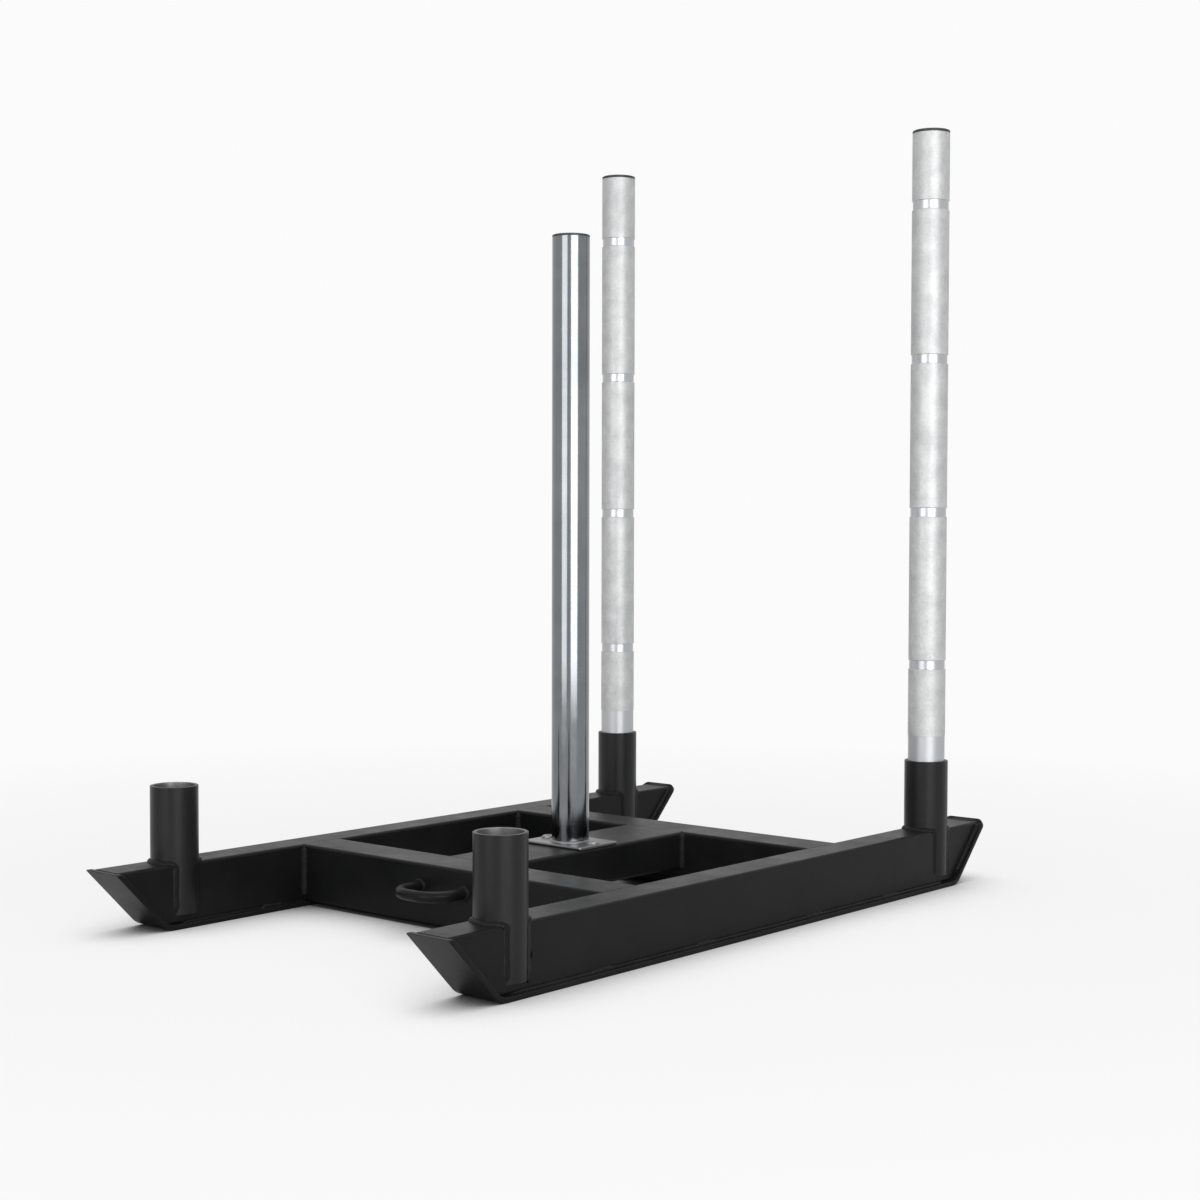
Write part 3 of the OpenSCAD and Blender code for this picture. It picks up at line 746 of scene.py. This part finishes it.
# A low round head with a hexagonal socket. The socket's edge lies at flat / cos(angle from the
# nearest flat); the rim of the head is broken by a quarter circle.
def boltShape(x):
    size, around = postSizes, postSizes["boltAround"]
    low = sled["plateTop"] + size["washer"]
    top = low + size["head"]
    floor, rim, side = top - size["socketDepth"], size["socketRim"], low + size["headSide"]
    angle = np.linspace(0, 2 * np.pi, around, endpoint=False)
    socket = size["socket"] * math.cos(np.pi / 6) / np.cos(angle % (np.pi / 3) - np.pi / 6)
    crown = size["headRadius"] - size["headSlope"]
    pairs = [(0, floor), (socket, floor), (socket, top - rim), (socket + rim, top)]
    for turn in np.linspace(0, np.pi / 2, 6):
        pairs.append((crown + size["headSlope"] * math.sin(turn), side + (top - side) * math.cos(turn)))
    pairs += [(size["headRadius"], low), (size["shank"], low), (size["shank"], size["shankEnd"]),
        (0, size["shankEnd"])]
    rows = []
    for radius, height in pairs:
        radius = np.broadcast_to(radius, around)
        rows.append(np.stack([x + radius * np.cos(angle), radius * np.sin(angle),
            np.full(around, height)], -1))
    return skin(np.stack(rows))


def washerShape(x):
    size, low = postSizes, sled["plateTop"]
    corners = [(size["washerBore"], low), (size["washerRadius"], low),
        (size["washerRadius"], low + size["washer"]), (size["washerBore"], low + size["washer"])]
    return turned(rounded(corners, size["washerRounds"], True), (x, 0), size["washerAround"], True)


makePiece("weightPostTube", [postShape()], postChrome, "sled_frame", ["weight_post"], 50)
postCap = capShape((0, 0), postSizes["top"], postSizes["capTop"], sled["postRadius"], postSizes["bore"])
makePiece("weightPostCap", [postCap], plastic, "sled_frame", ["post_cap"])
makePiece("postBasePlate", [plateShape()], plateChrome, "sled_frame", ["post_base_plate"])
bolts = (-postSizes["boltX"], postSizes["boltX"])
makePiece("baseBoltHeads", [boltShape(x) for x in bolts], zinc, "sled_frame", ["base_bolts"],
    25)
makePiece("baseWasherRings", [washerShape(x) for x in bolts], zinc, "sled_frame", ["base_washers"])
print("weight post ready")

# Tow loop

loopSizes = {
    "bar": 7.0, "legX": 38.5, "reach": 51.0, "bend": 30.0, "face": -240.0, "height": 52.0,
    "legRows": 4, "bendRows": 24, "around": 40,
}


# The bar's middle line is a leg, a quarter circle, the front bar, a quarter circle and a leg. A
# circle of the bar's radius stands square to it at every point.
def loopShape():
    size = loopSizes
    inner = size["legX"] - size["bend"]
    leg, count = size["reach"] - size["bend"], size["legRows"]
    turn = np.linspace(0, np.pi / 2, size["bendRows"])
    x = np.concatenate([np.full(count, size["legX"]), inner + size["bend"] * np.cos(turn)])
    y = np.concatenate([np.linspace(0, -leg, count + 1)[:-1], -leg - size["bend"] * np.sin(turn)])
    tx = np.concatenate([np.zeros(count), -np.sin(turn)])
    ty = np.concatenate([-np.ones(count), -np.cos(turn)])
    x, y = np.concatenate([x, -x[::-1]]), np.concatenate([y, y[::-1]])
    tx, ty = np.concatenate([tx, tx[::-1]]), np.concatenate([ty, -ty[::-1]])
    angle = np.linspace(0, 2 * np.pi, size["around"], endpoint=False)
    side = np.stack([-ty, tx], -1)
    flat = size["bar"] * np.cos(angle)
    rows = np.stack([
        x[:, None] + side[:, :1] * flat[None],
        size["face"] + y[:, None] + side[:, 1:] * flat[None],
        size["height"] + np.repeat(size["bar"] * np.sin(angle)[None], len(x), 0),
    ], -1)
    return skin(rows)


makePiece("towLoopBar", [loopShape()], coat, "sled_frame", ["tow_loop"])
print("tow loop ready")

# Weld beads

# A tack is its two heights, how far it stands off the sleeve, and its leg.
weldSizes = {
    "sleeveLeg": 4.0, "sleeveClear": 1.0, "cornerLeg": 6.0, "cornerFoot": 2.0, "cornerShort": 0.6,
    "spineUnder": 6.0, "spineOver": 3.0, "stitchLength": 45.0, "stitchInset": 1.6,
    "stitchLegs": (3.6, 4.2), "stitches": (-294.0, -104.0, 122.0, 300.0), "fillInset": 2.6,
    "fillEnd": 440.0, "fillLegs": (3.2, 3.4), "ledgeRoot": 0.3, "noseLeg": 4.0, "noseStart": 97.0,
    "noseRun": 90.0, "lipLeg": 2.8, "lipHalf": 21.0, "loopLeg": 3.0, "ringRoot": 0.2,
    "tacks": ((11.0, 38.0, 0.0, 4.5), (42.0, 58.0, 0.0, 4.5), (37.0, 49.0, 6.0, 2.4)),
    "tackWay": (0.9, -0.43),
}


def ways(direction, count):
    return np.tile(np.asarray(direction, float), (count, 1))


# One bead goes up a runner's side beside the sleeve, over the rounded edge, across the top and
# down the other side. Its corner is where the sleeve's cylinder meets the runner's outline.
def sleeveBead(side, back, half):
    r, w, top = sled["edgeRound"], sled["runnerHalf"], sled["frameTop"]
    up, over = 59, 23
    turn = np.linspace(0, np.pi / 2, 14)
    climb = np.linspace(sled["sleeveLow"] + weldSizes["sleeveClear"], top - r, up + 1)[:-1]
    x = np.concatenate([np.full(up, -w), -(w - r) - r * np.cos(turn)])
    z = np.concatenate([climb, top - r + r * np.sin(turn)])
    nx = np.concatenate([np.full(up, -1.0), -np.cos(turn)])
    nz = np.concatenate([np.zeros(up), np.sin(turn)])
    cross = np.linspace(-(w - r), 0, over + 1)[1:]
    x, z = np.concatenate([x, cross]), np.concatenate([z, np.full(over, top)])
    nx, nz = np.concatenate([nx, np.zeros(over)]), np.concatenate([nz, np.ones(over)])
    x, z = np.concatenate([x, -x[-2::-1]]), np.concatenate([z, z[-2::-1]])
    nx, nz = np.concatenate([nx, -nx[-2::-1]]), np.concatenate([nz, nz[-2::-1]])
    y = half * np.sqrt(sled["sleeveRadius"] ** 2 - x ** 2)
    runnerOut = np.stack([nx, np.zeros(len(x)), nz], -1)
    sleeveOut = np.stack([x, y, np.zeros(len(x))], -1) / sled["sleeveRadius"]
    same = np.sum(runnerOut * sleeveOut, 1, keepdims=True)
    toA = sleeveOut - same * runnerOut
    toB = runnerOut - same * sleeveOut
    toA /= np.linalg.norm(toA, axis=1, keepdims=True)
    toB /= np.linalg.norm(toB, axis=1, keepdims=True)
    line = np.stack([side * sled["runnerX"] + x, back * sled["sleeveY"] + y, z], -1)
    return bead(line, toA, toB, weldSizes["sleeveLeg"], weldSizes["sleeveLeg"])


def uprightBead(x, y, low, high, wayX, wayY):
    count, leg = 40, weldSizes["cornerLeg"]
    line = np.stack([np.full(count, x), np.full(count, y), np.linspace(low, high, count)], -1)
    return bead(line, ways((wayX, 0, 0), count), ways((0, wayY, 0), count), leg, leg)


def cornerBeads():
    size, inner = weldSizes, sled["runnerX"] - sled["runnerHalf"]
    low, top = sled["plate"] + size["cornerFoot"], sled["frameTop"] - size["cornerShort"]
    near = sled["crossY"] - sled["crossHalf"]
    out = []
    for sx in (-1, 1):
        for sy in (-1, 1):
            for edge in (-1, 1):
                out.append(uprightBead(sx * inner, sy * (sled["crossY"] + edge * sled["crossHalf"]),
                    low, top, -sx, sy * edge))
            out.append(uprightBead(sx * sled["spineHalf"], sy * near,
                sled["spineLow"] - size["spineUnder"], top + size["spineOver"], sx, -sy))
    return out


# Between the stitches the coat fills the seam below the runner's rounded edge
def stitchBeads():
    size, out, count = weldSizes, [], 30
    reach, root, level = size["stitchLength"] / 2, size["ledgeRoot"], np.full(count, sled["plate"])
    for side in (-1, 1):
        for edge in (-1, 1):
            flat, up = ways((edge, 0, 0), count), ways((0, 0, 1), count)
            x = side * sled["runnerX"] + edge * (sled["runnerHalf"] - size["fillInset"])
            y = np.linspace(-size["fillEnd"], size["fillEnd"], count)
            line = np.stack([np.full(count, x), y, level], -1)
            out.append(bead(line, flat, up, *size["fillLegs"], root, False, 0))
            x = side * sled["runnerX"] + edge * (sled["runnerHalf"] - size["stitchInset"])
            for middle in size["stitches"]:
                y = np.linspace(middle - reach, middle + reach, count)
                line = np.stack([np.full(count, x), y, level], -1)
                out.append(bead(line, flat, up, *size["stitchLegs"], root))
    return out


# Short tacks in the groove between a runner's outer face and the bulge of its front sleeve
def tackBeads():
    face = sled["runnerX"] + sled["runnerHalf"]
    reach = math.sqrt(sled["sleeveRadius"] ** 2 - sled["runnerHalf"] ** 2)
    out, count = [], 20
    for side in (-1, 1):
        bulge = (side * reach / sled["sleeveRadius"], -sled["runnerHalf"] / sled["sleeveRadius"], 0)
        for low, high, away, leg in weldSizes["tacks"]:
            line = np.stack([np.full(count, side * face), np.full(count, away + reach - sled["sleeveY"]),
                np.linspace(low, high, count)], -1)
            wayX, wayY = weldSizes["tackWay"]
            toB = bulge if away == 0 else (side * wayX, wayY, 0)
            out.append(bead(line, ways((0, 1, 0), count), ways(toB, count), leg, leg))
    return out


# The beads at a sloping end stand on the plate's inner face, which rises from the bend to the lip
def noseBeads():
    size, slope, thick, count = weldSizes, skidLook["slope"], sled["plate"], 40
    distance = np.linspace(0, 1, count)
    whole = plateLine(np.array([0.0]))[4]
    out = []
    for side in (-1, 1):
        for back in (-1, 1):
            run = back * (whole - size["noseStart"] + distance * size["noseRun"])
            y, z, ny, nz, _ = plateLine(run)
            y, z = y + ny * thick / 2, z + nz * thick / 2
            toB = np.stack([np.zeros(count), ny, nz], -1)
            for edge in (-1, 1):
                x = side * sled["runnerX"] + edge * sled["runnerHalf"]
                line = np.stack([np.full(count, x), y, z], -1)
                out.append(bead(line, ways((edge, 0, 0), count), toB, size["noseLeg"], size["noseLeg"]))
            if back < 0:
                continue
            lipY = back * (skidLook["tipY"] - thick * math.sin(slope) - skidLook["lip"] / math.tan(slope))
            x = np.linspace(-size["lipHalf"], size["lipHalf"], count) + side * sled["runnerX"]
            line = np.stack([x, np.full(count, lipY), np.full(count, sled["frameTop"])], -1)
            toLip = ways((0, back * math.cos(slope), math.sin(slope)), count)
            out.append(bead(line, ways((0, -back, 0), count), toLip, size["lipLeg"], size["lipLeg"]))
    return out


# A ring bead goes round a bar of a given radius; its corner is a circle in the plane of flat and up
def ringBead(centre, radius, flat, up, out, leg):
    count = int(2 * math.pi * radius / (beadLook["pitch"] / beadLook["rowsPerRipple"]))
    angle = np.linspace(0, 2 * np.pi, count, endpoint=False)[:, None]
    away = np.cos(angle) * np.asarray(flat, float) + np.sin(angle) * np.asarray(up, float)
    line = np.asarray(centre, float) + radius * away
    return bead(line, away, ways(out, count), leg, leg, weldSizes["ringRoot"], True)


sleeveBeads = [sleeveBead(side, back, half) for side in (-1, 1) for back in (-1, 1) for half in (-1, 1)]
makePiece("sleeveWeldBeads", sleeveBeads, weldCoat, "sled_frame", ["sleeve_welds"], 60)
makePiece("sleeveTackBeads", tackBeads(), weldCoat, "sled_frame", [], 60)
makePiece("cornerWeldBeads", cornerBeads(), weldCoat, "sled_frame", ["corner_welds"], 60)
makePiece("stitchWeldBeads", stitchBeads(), weldCoat, "sled_frame", ["stitch_welds"], 60)
makePiece("noseWeldBeads", noseBeads(), weldCoat, "sled_frame", ["nose_welds"], 60)
loopBeads = [
    ringBead((x, loopSizes["face"], loopSizes["height"]), loopSizes["bar"], (1, 0, 0), (0, 0, 1),
        (0, -1, 0), weldSizes["loopLeg"])
    for x in (-loopSizes["legX"], loopSizes["legX"])
]
makePiece("loopWeldBeads", loopBeads, weldCoat, "sled_frame", ["loop_welds"], 60)
postBead = ringBead((0, 0, sled["plateTop"]), sled["postRadius"], (1, 0, 0), (0, 1, 0), (0, 0, 1),
    postSizes["weld"])
makePiece("postWeldBead", [postBead], plateChrome, "sled_frame", ["post_weld"], 60)
print("weld beads ready")

# Floor, light and camera

studio = {
    "floorSize": 60.0, "paper": 0.9647, "world": 0.22, "floorTone": 0.86, "floorDrift": 0.01,
    "floorClouds": 1.2, "floorOwn": 0.86, "floorFade": (0.75, 2.0), "floorRough": 0.9,
    "floorSpecular": 0.1, "shadowReach": 0.30, "shadowDims": (0.25, 0.85),
}


def flatSheet(name, corners, material):
    mesh = bpy.data.meshes.new(name)
    mesh.from_pydata([tuple(c) for c in corners], [], [tuple(range(len(corners)))])
    mesh.materials.append(material)
    sheet = bpy.data.objects.new(name, mesh)
    bpy.context.scene.collection.objects.link(sheet)
    return sheet


# The floor takes the sled's real shadow from the lamps. Part of the tone that the camera and mirror-like
# faces see is its own glow, so it meets the background;
# under and beside the sled that glow is darkened as painted shade.
def floorMaterial():
    material, tree, shader, where = newMaterial("paleFloor")
    tone = effect(tree, "cloud", Vector=where, Scale=studio["floorClouds"],
        Low=studio["floorTone"] - studio["floorDrift"], High=studio["floorTone"] + studio["floorDrift"])
    link(tree, blend(tree, tone, (0, 0, 0), (1, 1, 1)), shader.inputs["Base Color"])
    shader.inputs["Roughness"].default_value = studio["floorRough"]
    shader.inputs["Specular IOR Level"].default_value = studio["floorSpecular"]
    # painted shade: close under the sled the floor's own glow is dimmed as far as the sled hides the
    # floor, far away the glow is all that is seen
    near = place(tree, "ShaderNodeAmbientOcclusion", {"samples": 12}, Distance=studio["shadowReach"])
    free = spread(tree, near.outputs["AO"], *studio["shadowDims"], 0.0, 1.0)
    glowWithPaintedShade = place(tree, "ShaderNodeEmission", None, Color=(1.0, 1.0, 1.0, 1.0),
        Strength=maths(tree, "MULTIPLY", free, studio["paper"]))
    ray = place(tree, "ShaderNodeLightPath")
    away = place(tree, "ShaderNodeVectorMath", {"operation": "LENGTH"}, i0=where)
    mirrored = maths(tree, "ADD", ray.outputs["Is Glossy Ray"], ray.outputs["Is Transmission Ray"])
    shown = maths(tree, "ADD", ray.outputs["Is Camera Ray"], mirrored, clamp=True)
    fade = spread(tree, away.outputs["Value"], *studio["floorFade"], studio["floorOwn"], 1.0)
    amount = maths(tree, "MULTIPLY", shown, fade)
    both = place(tree, "ShaderNodeMixShader", None, i0=amount, i1=shader.outputs[0], i2=glowWithPaintedShade.outputs[0])
    link(tree, both.outputs[0], tree.nodes["Material Output"].inputs["Surface"])
    return material


reach = studio["floorSize"] / 2
floorCorners = [(-reach, -reach, 0), (reach, -reach, 0), (reach, reach, 0), (-reach, reach, 0)]
flatSheet("studioFloor", floorCorners, floorMaterial())

world = bpy.data.worlds.new("studioWorld")
bpy.context.scene.world = world
world.use_nodes = True
sky = world.node_tree
background = sky.nodes["Background"]
ray = place(sky, "ShaderNodeLightPath")
mirrored = maths(sky, "ADD", ray.outputs["Is Glossy Ray"], ray.outputs["Is Transmission Ray"])
seen = maths(sky, "ADD", ray.outputs["Is Camera Ray"], mirrored, clamp=True)
level = place(sky, "ShaderNodeMix", {"data_type": "FLOAT"}, Factor=seen, i2=studio["world"],
    i3=studio["paper"])
background.inputs["Color"].default_value = (1, 1, 1, 1)
link(sky, level.outputs[0], background.inputs["Strength"])

camera = {
    "place": (1.74521, -1.96347, 0.50678), "azimuth": 40.78, "pitch": 2.20, "roll": 0.12,
    "lens": 59.40, "sensor": 36.0, "farthest": 60.0,
}

# Boxes of soft light. bearing is the angle round the sled, measured like the camera's azimuth
lamps = {
    "rightBox": {"bearing": 63.0, "distance": 2.9, "height": 0.95, "size": (2.2, 2.0), "power": 66.0,
        "aim": 0.45},
    "leftBox": {"bearing": 3.0, "distance": 2.9, "height": 0.95, "size": (1.7, 2.0), "power": 31.0,
        "aim": 0.45},
    "topBox": {"bearing": 200.0, "distance": 1.2, "height": 3.2, "size": (2.6, 2.6), "power": 30.0,
        "aim": 0.1},
}


def aimed(eye, target):
    back = (Vector(eye) - Vector(target)).normalized()
    right = Vector((0, 0, 1)).cross(back).normalized()
    up = back.cross(right)
    return Matrix((right, up, back)).transposed().to_4x4()


for name, lamp in lamps.items():
    bearing = math.radians(lamp["bearing"])
    eye = (math.sin(bearing) * lamp["distance"], -math.cos(bearing) * lamp["distance"], lamp["height"])
    light = bpy.data.lights.new(name, "AREA")
    light.shape = "RECTANGLE"
    light.size, light.size_y = lamp["size"]
    light.energy = lamp["power"]
    holder = bpy.data.objects.new(name, light)
    holder.matrix_world = Matrix.Translation(eye) @ aimed(eye, (0, 0, lamp["aim"]))
    bpy.context.scene.collection.objects.link(holder)


azimuth, pitch, roll = (math.radians(camera[k]) for k in ("azimuth", "pitch", "roll"))
back = Vector((math.sin(azimuth) * math.cos(pitch), -math.cos(azimuth) * math.cos(pitch),
    math.sin(pitch)))
right = Vector((math.cos(azimuth), math.sin(azimuth), 0))
up = back.cross(right)
right, up = math.cos(roll) * right + math.sin(roll) * up, -math.sin(roll) * right + math.cos(roll) * up
lens = bpy.data.cameras.new("viewer")
lens.sensor_width = camera["sensor"]
lens.lens = camera["lens"]
lens.clip_end = camera["farthest"]
viewer = bpy.data.objects.new("viewer", lens)
facing = Matrix((right, up, back)).transposed().to_4x4()
viewer.matrix_world = Matrix.Translation(camera["place"]) @ facing
bpy.context.scene.collection.objects.link(viewer)
bpy.context.scene.camera = viewer
bpy.context.scene.view_settings.view_transform = "Standard"
print("stage ready")
